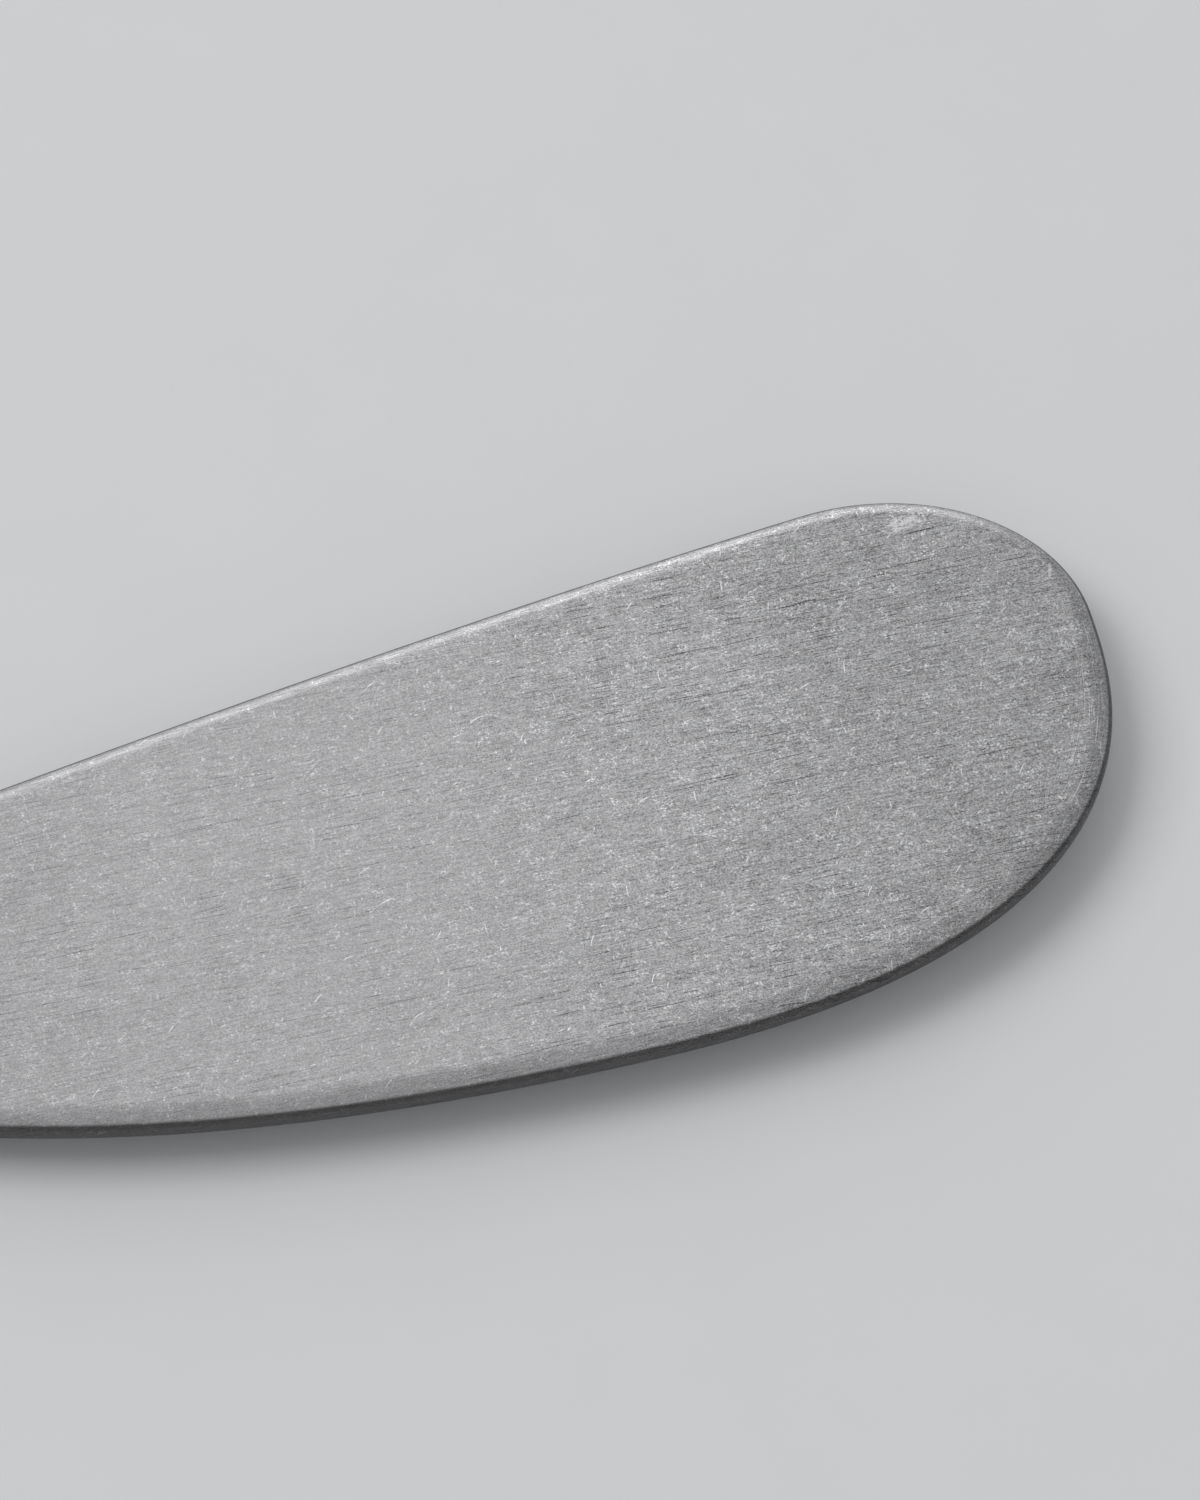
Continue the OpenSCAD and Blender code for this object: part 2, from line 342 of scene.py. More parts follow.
def moved_in(edge, wall):
    """An edge moved inwards by a wall, with the round-over that much smaller."""
    points = edge.points - edge.normals * wall
    return edge._replace(points=points, rounds=edge.rounds - wall)


def shell_patches(turned_over):
    """A half shell: outer and inner skins joined along the seam and at the mouth."""
    lower, upper = handle_edges()
    outer = face_half(lower, upper, profile(seam_t, handle_t / 2, shell_run_ins, from_middle=False))
    wall_shape = profile(seam_t, handle_t / 2 - shell_wall, shell_run_ins, from_middle=False)
    inner = face_half(moved_in(lower, shell_wall), moved_in(upper, shell_wall), wall_shape)
    if turned_over:
        outer = below(outer)
        inner = below(inner)
    return [
        Patch(*around(outer, inner, False), (False, True)),
        Patch(*end_strip(outer, inner), (False, False)),
    ]


def ovals(half_w, half_t, upper_round, lower_round, land):
    """Upper halves of flat ovals, one row for each entry of the sizes.

    Each corner is a quarter ellipse above a land. A row goes from the middle of
    the spine side over the top to the middle of the belly side.
    """
    sizes = np.broadcast_arrays(half_w, half_t, upper_round, lower_round, land)
    half_w, half_t, upper_round, lower_round, land = [np.array(s, float)[:, None] for s in sizes]
    a = np.linspace(0, math.pi / 2, round_steps + 1)
    rise = land / 2 + (half_t - land / 2) * np.sin(a)
    right = np.concatenate([half_w, half_w - upper_round * (1 - np.cos(a))], 1)
    left = np.concatenate([half_w, half_w - lower_round * (1 - np.cos(a))], 1)
    height = np.concatenate([0 * half_w, rise], 1)
    share = np.linspace(0, 1, across_steps + 1)[1:-1]
    flat_y = mix(right[:, -1:], -left[:, -1:], share)
    flat_z = np.broadcast_to(half_t, flat_y.shape)
    y = np.concatenate([right, flat_y, -left[:, ::-1]], 1)
    return y, np.concatenate([height, flat_z, height[:, ::-1]], 1)


def ring_patch(x, half_w, half_t, upper_round, lower_round, land):
    """Flat ovals set along the axis, closed both round the section and end to end.

    Skin is the place along the axis and the way over from the top's middle.
    """
    y, z = ovals(half_w, half_t, upper_round, lower_round, land)
    x = np.broadcast_to(np.array(x, float)[:, None], y.shape)
    step = np.hypot(np.diff(y, axis=1), np.diff(z, axis=1))
    way = np.concatenate([0 * y[:, :1], np.cumsum(step, axis=1)], 1)
    way = way[:, [way.shape[1] // 2]] - way
    half = [np.dstack([x, y, z]), np.dstack([x, way, z]), np.dstack([x, 0 * y + far_in, z])]
    return Patch(*around(half, below(half), True), (True, True))


def bolster_patches():
    """The bolster as rings: along the spigot, over the collar, and back through the slot."""
    shoulder_x = collar_high[0]
    spigot_x = bolster_low[0]
    lip_x = bolster_front - lip_round
    pocket_x = bolster_front - pocket_depth - fit_gap
    mouth_round = side_round_share * mouth_w / 2
    inset = shell_wall + fit_gap

    share = np.linspace(0, 1, collar_steps + 1)
    lip = np.linspace(0, math.pi / 2, lip_steps + 1)[1:]
    trim = np.concatenate([0 * share, lip_round * (1 - np.cos(lip))])
    rise = np.concatenate([ease(share), 0 * lip + 1])
    outer_x = np.concatenate([mix(shoulder_x, lip_x, share), lip_x + lip_round * np.sin(lip)])
    outer_w = mix(mouth_w, neck_w + 2 * bolster_lip, rise) / 2 - trim
    outer_t = mix(handle_t, blade_t + 2 * bolster_lip, rise) / 2 - trim

    spigot = (mouth_w / 2 - inset, handle_t / 2 - inset, mouth_round - inset, mouth_round - inset, seam_t)
    pocket = (neck_w / 2 + fit_gap, blade_t / 2 + fit_gap, spine_round, belly_round, edge_land)
    slot_land = blade_t + 2 * fit_gap - 2 * slot_corner
    slot = (tang_w / 2 + fit_gap, blade_t / 2 + fit_gap, slot_corner, slot_corner, slot_land)
    rows = [(spigot_x, *spigot), (shoulder_x, *spigot)]
    rows += [
        (x, w, t, side_round_share * w, side_round_share * w, seam_t)
        for x, w, t in zip(outer_x, outer_w, outer_t)
    ]
    rows += [(bolster_front, *pocket), (pocket_x, *pocket), (pocket_x, *slot), (spigot_x, *slot)]
    return [ring_patch(*np.array(rows).T)]


def collar_braze_patches():
    """Braze ring between the bolster's shoulder and the mouth, dished along its middle."""
    mouth_round = side_round_share * mouth_w / 2
    middle_x = (collar_low[0] + collar_high[0]) / 2
    rows = [
        (x, mouth_w / 2 - inset, handle_t / 2 - inset, mouth_round - inset, mouth_round - inset, seam_t)
        for x, inset in (
            (collar_low[0], 0),
            (middle_x, braze_dish),
            (collar_high[0], 0),
            (collar_high[0], shell_wall),
            (collar_low[0], shell_wall),
        )
    ]
    return [ring_patch(*np.array(rows).T)]


def seam_braze_patches():
    """Braze carried round the handle in the seam: a dished band with a flat back."""
    belly_side, spine_side = handle_edges()
    insets = np.array([0, braze_dish, 0, shell_wall, shell_wall])
    heights = np.array([-0.5, 0, 0.5, 0.5, -0.5]) * seam_t
    runs = []
    for edge in (spine_side, belly_side):
        plan = edge.points[:, None] - edge.normals[:, None] * insets[:, None]
        height = np.broadcast_to(heights, plan.shape[:2])
        along = np.broadcast_to(edge.along[:, None], plan.shape[:2])
        depth = np.broadcast_to(insets, plan.shape[:2])
        runs.append((np.dstack([plan, height]), np.dstack([along, depth, height])))
    points, rim = [np.concatenate([a, b[-2::-1]]) for a, b in zip(*runs)]
    band = Patch(points, rim, rim, (False, True))
    return [band, end_cap(points[0], rim[0]), end_cap(points[-1], rim[-1])]


def end_cap(points, rim):
    """The end face of the seam's band, from its dished side to its back."""
    rows = [[0, 1, 2], [4, 4, 3]]
    return Patch(points[rows], rim[rows], rim[rows], (False, False))


def patch_faces(patch, first):
    """Quads of a grid of points, closed where the patch says so."""
    rows, columns = patch.points.shape[:2]
    r = np.arange(rows if patch.closed[0] else rows - 1)[:, None]
    c = np.arange(columns if patch.closed[1] else columns - 1)[None, :]
    r_next = (r + 1) % rows
    c_next = (c + 1) % columns
    quads = [r * columns + c, r * columns + c_next, r_next * columns + c_next, r_next * columns + c]
    return first + np.stack(np.broadcast_arrays(*quads), -1).reshape(-1, 4)


def welded(points, faces):
    """Which points to keep, and the faces as quads and triangles, with doubles merged."""
    keys = np.round(points / weld + weld_shift).astype(np.int64)
    _, keep, number = np.unique(keys, axis=0, return_index=True, return_inverse=True)
    faces = number.reshape(-1)[faces]
    same = faces == np.roll(faces, -1, axis=1)
    doubled = same.sum(1)
    quads = faces[doubled == 0]
    thin = faces[doubled == 1]
    spare = same[doubled == 1].argmax(1)
    triangles = thin[np.arange(4)[None, :] != spare[:, None]].reshape(-1, 3)
    return keep, quads, triangles


def add_vectors(mesh, name, values):
    """A vector attribute on the points of a mesh."""
    attribute = mesh.attributes.new(name, "FLOAT_VECTOR", "POINT")
    attribute.data.foreach_set("vector", np.asarray(values, np.float32).ravel())


def faces_outward(mesh):
    """Turns the faces of a closed mesh outwards and shades it smooth up to its sharp edges."""
    bm = bmesh.new()
    bm.from_mesh(mesh)
    bmesh.ops.recalc_face_normals(bm, faces=bm.faces)
    bm.to_mesh(mesh)
    bm.free()
    mesh.shade_smooth()
    mesh.set_sharp_from_angle(angle=sharp_angle)


def add_piece(name, patches, node, material):
    """A new piece from patches: it stands for a CAD node and rides on the knife."""
    counts = [patch.points.shape[0] * patch.points.shape[1] for patch in patches]
    firsts = np.concatenate([[0], np.cumsum(counts)[:-1]])
    faces = np.concatenate([patch_faces(p, first) for p, first in zip(patches, firsts)])
    points, skin, rim = [
        np.concatenate([getattr(patch, field).reshape(-1, 3) for patch in patches])
        for field in ("points", "skin", "rim")
    ]
    keep, quads, triangles = welded(points, faces)
    mesh = bpy.data.meshes.new(name)
    placed = (points[keep] + to_place) * mm
    mesh.from_pydata(placed.tolist(), [], quads.tolist() + triangles.tolist())
    add_vectors(mesh, "skin", skin[keep])
    add_vectors(mesh, "rim", rim[keep])
    faces_outward(mesh)
    return as_piece(name, mesh, node, material)


def as_piece(name, mesh, node, material):
    """An object for a mesh, with its material and body, and the CAD node it stands for hidden."""
    piece = bpy.data.objects.new(name, mesh)
    bpy.context.scene.collection.objects.link(piece)
    mesh.materials.clear()
    mesh.materials.append(material)
    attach(piece, "root")
    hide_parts(node)
    return piece


def add_tang(name, node, material):
    """The tang, cut from a merged copy of the CAD blade behind the plate's rear face."""
    bm = bmesh.new()
    bm.from_mesh(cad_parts[node].data)
    bmesh.ops.remove_doubles(bm, verts=bm.verts, dist=weld * mm)
    cut_x = (bolster_front - pocket_depth - tang_gap) * mm
    geometry = bm.verts[:] + bm.edges[:] + bm.faces[:]
    bmesh.ops.bisect_plane(
        bm, geom=geometry, dist=weld * mm, plane_co=(cut_x, 0, 0), plane_no=(1, 0, 0), clear_outer=True
    )
    rim_edges = [e for e in bm.edges if e.is_boundary]
    bmesh.ops.holes_fill(bm, edges=rim_edges, sides=0)
    bmesh.ops.recalc_face_normals(bm, faces=bm.faces)
    mesh = bpy.data.meshes.new(name)
    bm.to_mesh(mesh)
    bm.free()
    points = np.zeros(len(mesh.vertices) * 3)
    mesh.vertices.foreach_get("co", points)
    skin = points.reshape(-1, 3) / mm - to_place
    add_vectors(mesh, "skin", skin)
    add_vectors(mesh, "rim", np.full_like(skin, far_in))
    return as_piece(name, mesh, node, material)


# Steel: grain by the length along the brushing and the width across it
steel_grains = {
    "fine": Grain(length=0.066, width=0.052, detail=1.5, shift=0.0),
    "coarse": Grain(length=0.3, width=0.2, detail=2.0, shift=3.0),
    "strokes": Grain(length=1.1, width=0.045, detail=1.0, shift=5.0),
    "short_strokes": Grain(length=0.35, width=0.04, detail=1.0, shift=7.0),
    "cloud": Grain(length=7.0, width=4.0, detail=3.0, shift=11.0),
}
patch_grain = Grain(length=9.0, width=5.0, detail=2.0, shift=17.0)

# Steel: dark lines left of the brushing, in patches
brushing_lines = (
    Scratches(3.2, 0.3, reach=1.45, width=0.027, bend=0.02, kept=0.55, turn=0.0, spread=0.08, seed=1.0),
    Scratches(1.9, 0.26, reach=0.85, width=0.025, bend=0.03, kept=0.5, turn=0.0, spread=0.1, seed=2.0),
    Scratches(5.5, 0.7, reach=2.5, width=0.03, bend=0.01, kept=0.4, turn=0.0, spread=0.07, seed=3.0),
)
line_patches = Step(0.35, 0.6, low=0.25)

# Steel: bright scratches of three sizes with their shares, and speckle in clusters
bright_scratches = (
    Scratches(2.0, 2.0, reach=0.38, width=0.036, bend=0.3, kept=0.4, turn=0.9, spread=1.4, seed=4.0),
    Scratches(0.9, 0.9, reach=0.16, width=0.045, bend=1.0, kept=0.5, turn=0.9, spread=1.8, seed=5.0),
    Scratches(0.45, 0.45, reach=0.09, width=0.045, bend=5.0, kept=0.35, turn=0.9, spread=6.3, seed=6.0),
)
bright_shares = (1.0, 0.7, 0.65)
cluster_grain = Grain(length=0.6, width=0.45, detail=1.0, shift=29.0)
cluster_step = Step(0.52, 0.66)
dot_grain = Grain(length=0.11, width=0.09, detail=1.0, shift=31.0)
dot_step = Step(0.5, 0.72)

# Steel: wear in streaks, within steps of the depth in from the edge and of the way along it
nose_wear = Wear(
    grain=Grain(length=2.2, width=0.05, detail=1.0, shift=37.0),
    streaks=Step(0.6, 0.72),
    depth=(Step(-0.8, -0.4), Step(0.2, 1.3, low=1.0, high=0.0)),
    along=(Step(-16.0, -8.0), Step(-1.0, 5.0, low=1.0, high=0.15)),
)
spine_wear = Wear(
    grain=Grain(length=1.6, width=0.07, detail=2.0, shift=53.0),
    streaks=Step(0.45, 0.75),
    depth=(Step(-0.95, -0.65), Step(-0.5, 0.2, low=1.0, high=0.0)),
    along=(Step(9.0, 24.0),),
)

# Steel: three worn marks on the blade's upper face
scuff_mark = Mark(place=(79.2, 11.0, 0.75), reach=1.0, width=0.42, turn=0.0)
groove_mark = Mark(place=(79.9, 10.45, 0.75), reach=1.1, width=0.05, turn=0.05)
nick_mark = Mark(place=(84.75, 7.2, 0.75), reach=0.5, width=0.11, turn=1.25)
scuff_grain = Grain(length=0.25, width=0.08, detail=2.0, shift=43.0)
scuff_step = Step(0.3, 0.6)

# Steel: brown spots between the patches
stain_grain = Grain(length=0.3, width=0.25, detail=1.0, shift=47.0)
stain_step = Step(0.68, 0.78)
stain_patches = Step(0.45, 0.6, low=1.0, high=0.0)
stain_strength = 0.6

# Steel: tones, and each pattern's share in the shade, the roughness and the bumps
steel_tone = (0.503, 0.5, 0.508)
stain_tone = (0.503, 0.47, 0.42672)
steel_roughness = 0.33
steel_bump = 0.004
least_shade = 0.15
# The plate's side band, from the height on its rim: it carries painted shade, which stands in for a dark
# reflection, and a rougher finish
side_band = Step(0.46, 0.56, low=1.0, high=0.0)
blade_contrast = Step(48.0, 72.0, low=0.66, high=1.3)
shade_shares = {
    "fine": 2.0,
    "coarse": 0.3,
    "strokes": 0.85,
    "short_strokes": 0.6,
    "cloud": 0.3,
    "lines": -0.62,
    "bright": 1.15,
    "speckle": 0.8,
    "nose_wear": 0.9,
    "spine_wear": 0.6,
    "scuff": 0.7,
    "groove": -0.6,
    "nick": 0.55,
}
roughness_shares = {"cloud": 0.1, "fine": 0.12, "bright": -0.12, "lines": 0.1, "side": 0.12}
height_shares = {"fine": 0.5, "strokes": 0.5, "coarse": 0.5, "lines": -0.6, "bright": -0.5}

# Braze
braze_tone = (0.52, 0.5, 0.44)
braze_roughness = 0.38
braze_bump = -0.004
drawn_grain = Grain(length=0.5, width=0.04, detail=2.0, shift=0.0)
braze_pit_grain = Grain(length=0.08, width=0.05, detail=1.0, shift=7.0)
braze_pit_step = Step(0.66, 0.78)
braze_shade_shares = {"drawn": 0.6, "pits": -0.4}
braze_roughness_shares = {"drawn": 0.2, "pits": 0.2}

# Cement
cement_tone = (0.55, 0.53, 0.5)
cement_roughness = 0.85
cement_bump = 0.05
sand_grain = Grain(length=0.25, width=0.25, detail=3.0, shift=0.0)
cement_pore_grain = Grain(length=0.5, width=0.5, detail=1.0, shift=5.0)
cement_pore_step = Step(0.68, 0.76)
cement_shade_shares = {"sand": 0.5, "pores": -0.35}
cement_height_shares = {"sand": 1.0, "pores": -1.0}

# Floor, with its radius in metres
floor_tone = (0.8, 0.805, 0.815)
floor_roughness = 0.9
floor_radius = 4.0
floor_sides = 96
floor_ring_shares = (0.0, 0.2, 0.5, 1.0)
mottle_grain = Grain(length=6.0, width=6.0, detail=3.0, shift=0.0)
floor_shade_shares = {"mottle": 0.03}

# Noise, and the roughness of a metal before its patterns
noise_middle = 0.5
noise_roughness = 0.6
metal_roughness = 0.4

# Scratch cells and worn marks: seeds, the slack across a cell, the least share of
# a scratch's reach and strength, fades, and how far down a mark goes
seed_steps = (0.37, 0.61)
second_seed = 7.0
underside_seed = 0.5
cross_slack = 0.5
shortest_share = 0.4
faintest_share = 0.3
scratch_end_fade = Step(0.3, 1.0, low=1.0, high=0.0)
scratch_side_fade = Step(0.2, 1.0, low=1.0, high=0.0)
mark_fade = Step(0.2, 1.0, low=1.0, high=0.0)
mark_depth = 0.5


def put(tree, kind, inputs=None, **settings):
    """A node with its settings, and its inputs given as values or as sockets to link."""
    node = tree.nodes.new(kind)
    for key, value in settings.items():
        setattr(node, key, value)
    for key, value in (inputs or {}).items():
        if isinstance(value, bpy.types.NodeSocket):
            tree.links.new(value, node.inputs[key])
        else:
            node.inputs[key].default_value = value
    return node


def math_of(tree, operation, *values):
    """One kind of arithmetic carried through several numbers."""
    total = values[0]
    for value in values[1:]:
        total = put(tree, "ShaderNodeMath", {0: total, 1: value}, operation=operation).outputs[0]
    return total


def sum_of(tree, *values):
    """The sum of several numbers."""
    return math_of(tree, "ADD", *values)


def times(tree, *values):
    """The product of several numbers."""
    return math_of(tree, "MULTIPLY", *values)


def less(tree, a, b):
    """One number less another."""
    return math_of(tree, "SUBTRACT", a, b)


def size_of(tree, value):
    """A number without its sign."""
    return put(tree, "ShaderNodeMath", {0: value}, operation="ABSOLUTE").outputs[0]


def centred(tree, value):
    """How far a noise, or a random number from 0 to 1, is from its middle."""
    return less(tree, value, noise_middle)


def ramp(tree, value, step):
    """A smooth step from low to high as the value goes from start to end."""
    inputs = {"Value": value, "From Min": step.start, "From Max": step.end}
    inputs.update({"To Min": step.low, "To Max": step.high})
    node = put(tree, "ShaderNodeMapRange", inputs, interpolation_type="SMOOTHSTEP")
    return node.outputs["Result"]


def ramps(tree, value, steps):
    """The product of several smooth steps of one value."""
    return times(tree, *[ramp(tree, value, step) for step in steps])


def axes_of(tree, vector):
    """The three numbers of a vector."""
    return put(tree, "ShaderNodeSeparateXYZ", {0: vector}).outputs


def vector_of(tree, *numbers):
    """A vector from up to three numbers."""
    return put(tree, "ShaderNodeCombineXYZ", dict(enumerate(numbers))).outputs[0]


def turned_by(tree, vector, angle):
    """The numbers of a vector in axes turned by an angle about z."""
    inputs = {"Vector": vector, "Angle": times(tree, angle, -1.0)}
    return axes_of(tree, put(tree, "ShaderNodeVectorRotate", inputs, rotation_type="Z_AXIS").outputs[0])


def new_group(name, inputs, output):
    """An empty node group with named inputs, as (label, kind), and one number as output."""
    tree = bpy.data.node_groups.new(name, "ShaderNodeTree")
    for label, kind in inputs:
        tree.interface.new_socket(label, in_out="INPUT", socket_type="NodeSocket" + kind)
    tree.interface.new_socket(output, in_out="OUTPUT", socket_type="NodeSocketFloat")
    entry = tree.nodes.new("NodeGroupInput")
    leave = tree.nodes.new("NodeGroupOutput")
    return tree, entry.outputs, leave.inputs


def labels(kind, *names):
    """Labels of group inputs, all of one kind."""
    return [(name, kind) for name in names]


def grain_group():
    """Noise whose grains have a length along x and a width across, in millimetres."""
    inputs = labels("Vector", "Skin") + labels("Float", "Length", "Width", "Detail", "Shift")
    tree, entry, leave = new_group("steel_grain", inputs, "Value")
    along = math_of(tree, "DIVIDE", 1.0, entry["Length"])
    across = math_of(tree, "DIVIDE", 1.0, entry["Width"])
    scale = vector_of(tree, along, across, across)
    shift = vector_of(tree, entry["Shift"], entry["Shift"])
    inputs = {0: entry["Skin"], 1: scale, 2: shift}
    place = put(tree, "ShaderNodeVectorMath", inputs, operation="MULTIPLY_ADD").outputs[0]
    inputs = {"Vector": place, "Scale": 1.0, "Detail": entry["Detail"], "Roughness": noise_roughness}
    noise = put(tree, "ShaderNodeTexNoise", inputs)
    tree.links.new(noise.outputs["Fac"], leave["Value"])
    return tree


def scratch_group():
    """Short bent scratches, one at most in each cell of the skin, in millimetres.

    Kept is the share of cells that hold one. A cell's random numbers shift its
    scratch, turn it by up to half the spread to either side, shorten it and make
    it fainter. Along it the mask fades at the reach, across it at the width,
    after a bend by the square of the way along.
    """
    names = ("Cell Length", "Cell Width", "Reach", "Width", "Bend", "Kept", "Turn", "Spread", "Seed")
    inputs = labels("Vector", "Skin") + labels("Float", *names)
    tree, entry, leave = new_group("tumble_scratches", inputs, "Mask")
    axes = axes_of(tree, entry["Skin"])
    top = math_of(tree, "GREATER_THAN", axes[2], 0.0)
    sizes = (entry["Cell Length"], entry["Cell Width"])
    places = []
    numbers = []
    for axis, size, step in zip(axes, sizes, seed_steps):
        place = sum_of(tree, math_of(tree, "DIVIDE", axis, size), times(tree, entry["Seed"], step))
        places.append(place)
        numbers.append(put(tree, "ShaderNodeMath", {0: place}, operation="FLOOR").outputs[0])
    side = sum_of(tree, times(tree, top, underside_seed), entry["Seed"])
    cell = vector_of(tree, *numbers, side)
    chance = put(tree, "ShaderNodeTexWhiteNoise", {"Vector": cell}, noise_dimensions="3D")
    colour = put(tree, "ShaderNodeSeparateColor", {0: chance.outputs["Color"]}).outputs
    slacks = (
        less(tree, sizes[0], times(tree, entry["Reach"], 2.0)),
        times(tree, sizes[1], cross_slack),
    )
    local = []
    for place, number, size, way, slack in zip(places, numbers, sizes, colour, slacks):
        inside = centred(tree, less(tree, place, number))
        moved = times(tree, centred(tree, way), slack)
        local.append(less(tree, times(tree, inside, size), moved))
    turn = sum_of(tree, entry["Turn"], times(tree, centred(tree, colour[2]), entry["Spread"]))
    turned = turned_by(tree, vector_of(tree, *local), turn)
    bend = times(tree, turned[0], turned[0], entry["Bend"])
    across = size_of(tree, sum_of(tree, turned[1], bend))
    along = size_of(tree, turned[0])
    shortened = sum_of(tree, times(tree, chance.outputs["Value"], 1 - shortest_share), shortest_share)
    length = times(tree, shortened, entry["Reach"])
    fade_along = ramp(tree, math_of(tree, "DIVIDE", along, length), scratch_end_fade)
    fade_across = ramp(tree, math_of(tree, "DIVIDE", across, entry["Width"]), scratch_side_fade)
    inputs = {"Vector": cell, "W": second_seed}
    second = put(tree, "ShaderNodeTexWhiteNoise", inputs, noise_dimensions="4D").outputs["Value"]
    kept = math_of(tree, "LESS_THAN", second, entry["Kept"])
    strength = sum_of(tree, times(tree, colour[0], 1 - faintest_share), faintest_share)
    tree.links.new(times(tree, fade_along, fade_across, kept, strength), leave["Mask"])
    return tree


def mark_group():
    """One worn mark on the upper face: a soft ellipse about a place, in millimetres."""
    inputs = labels("Vector", "Skin", "Place") + labels("Float", "Reach", "Width", "Turn")
    tree, entry, leave = new_group("worn_mark", inputs, "Mask")
    away = put(tree, "ShaderNodeVectorMath", {0: entry["Skin"], 1: entry["Place"]}, operation="SUBTRACT")
    axes = turned_by(tree, away.outputs[0], entry["Turn"])
    along = math_of(tree, "DIVIDE", axes[0], entry["Reach"])
    across = math_of(tree, "DIVIDE", axes[1], entry["Width"])
    far = sum_of(tree, times(tree, along, along), times(tree, across, across))
    above = math_of(tree, "GREATER_THAN", axes[2], -mark_depth)
    tree.links.new(times(tree, ramp(tree, far, mark_fade), above), leave["Mask"])
    return tree


grain = grain_group()
scratches = scratch_group()
marks = mark_group()


def placed(tree, group, skin, values):
    """A placed group's output, with its inputs after Skin given in their order."""
    node = put(tree, "ShaderNodeGroup", node_tree=group)
    tree.links.new(skin, node.inputs["Skin"])
    for socket, value in zip(node.inputs[1:], values):
        socket.default_value = value
    return node.outputs[0]


def grain_of(tree, skin, size):
    """A placed grain group's value."""
    return placed(tree, grain, skin, size)


def blend(tree, patterns, shares):
    """The sum of the patterns there are, each times its share."""
    parts = [times(tree, patterns[name], share) for name, share in shares.items() if name in patterns]
    return sum_of(tree, *parts)


def wear_of(tree, rim, wear):
    """Bright streaks drawn along the edge, within the wear's steps of depth and way along."""
    along, depth, _ = axes_of(tree, rim)
    streaks = ramp(tree, grain_of(tree, rim, wear.grain), wear.streaks)
    return times(tree, streaks, ramps(tree, depth, wear.depth), ramps(tree, along, wear.along))


def new_material(name, metallic, roughness):
    """A material with its shader and output, and the shader's plain values."""
    material = bpy.data.materials.new(name)
    material.use_nodes = True
    tree = material.node_tree
    tree.nodes.clear()
    shader = put(tree, "ShaderNodeBsdfPrincipled", {"Metallic": metallic, "Roughness": roughness})
    output = put(tree, "ShaderNodeOutputMaterial")
    tree.links.new(shader.outputs[0], output.inputs[0])
    return material, tree, shader


def attribute_of(tree, name):
    """A point attribute of the mesh, as a vector."""
    return put(tree, "ShaderNodeAttribute", attribute_name=name).outputs["Vector"]


def object_place(tree):
    """The place in the object's own axes, in millimetres."""
    place = put(tree, "ShaderNodeTexCoord").outputs["Object"]
    return put(tree, "ShaderNodeVectorMath", {0: place, "Scale": 1 / mm}, operation="SCALE").outputs[0]


def link_colour(tree, shader, tone, shade):
    """Gives the shader a tone made lighter or darker by a number."""
    scaled = put(tree, "ShaderNodeVectorMath", {0: tone, "Scale": shade}, operation="SCALE")
    tree.links.new(scaled.outputs[0], shader.inputs["Base Color"])


def link_bump(tree, shader, height, distance):
    """Gives the shader bumps: the height times a distance in millimetres."""
    bump = put(tree, "ShaderNodeBump", {"Height": height, "Strength": 1.0, "Distance": distance * mm})
    tree.links.new(bump.outputs[0], shader.inputs["Normal"])


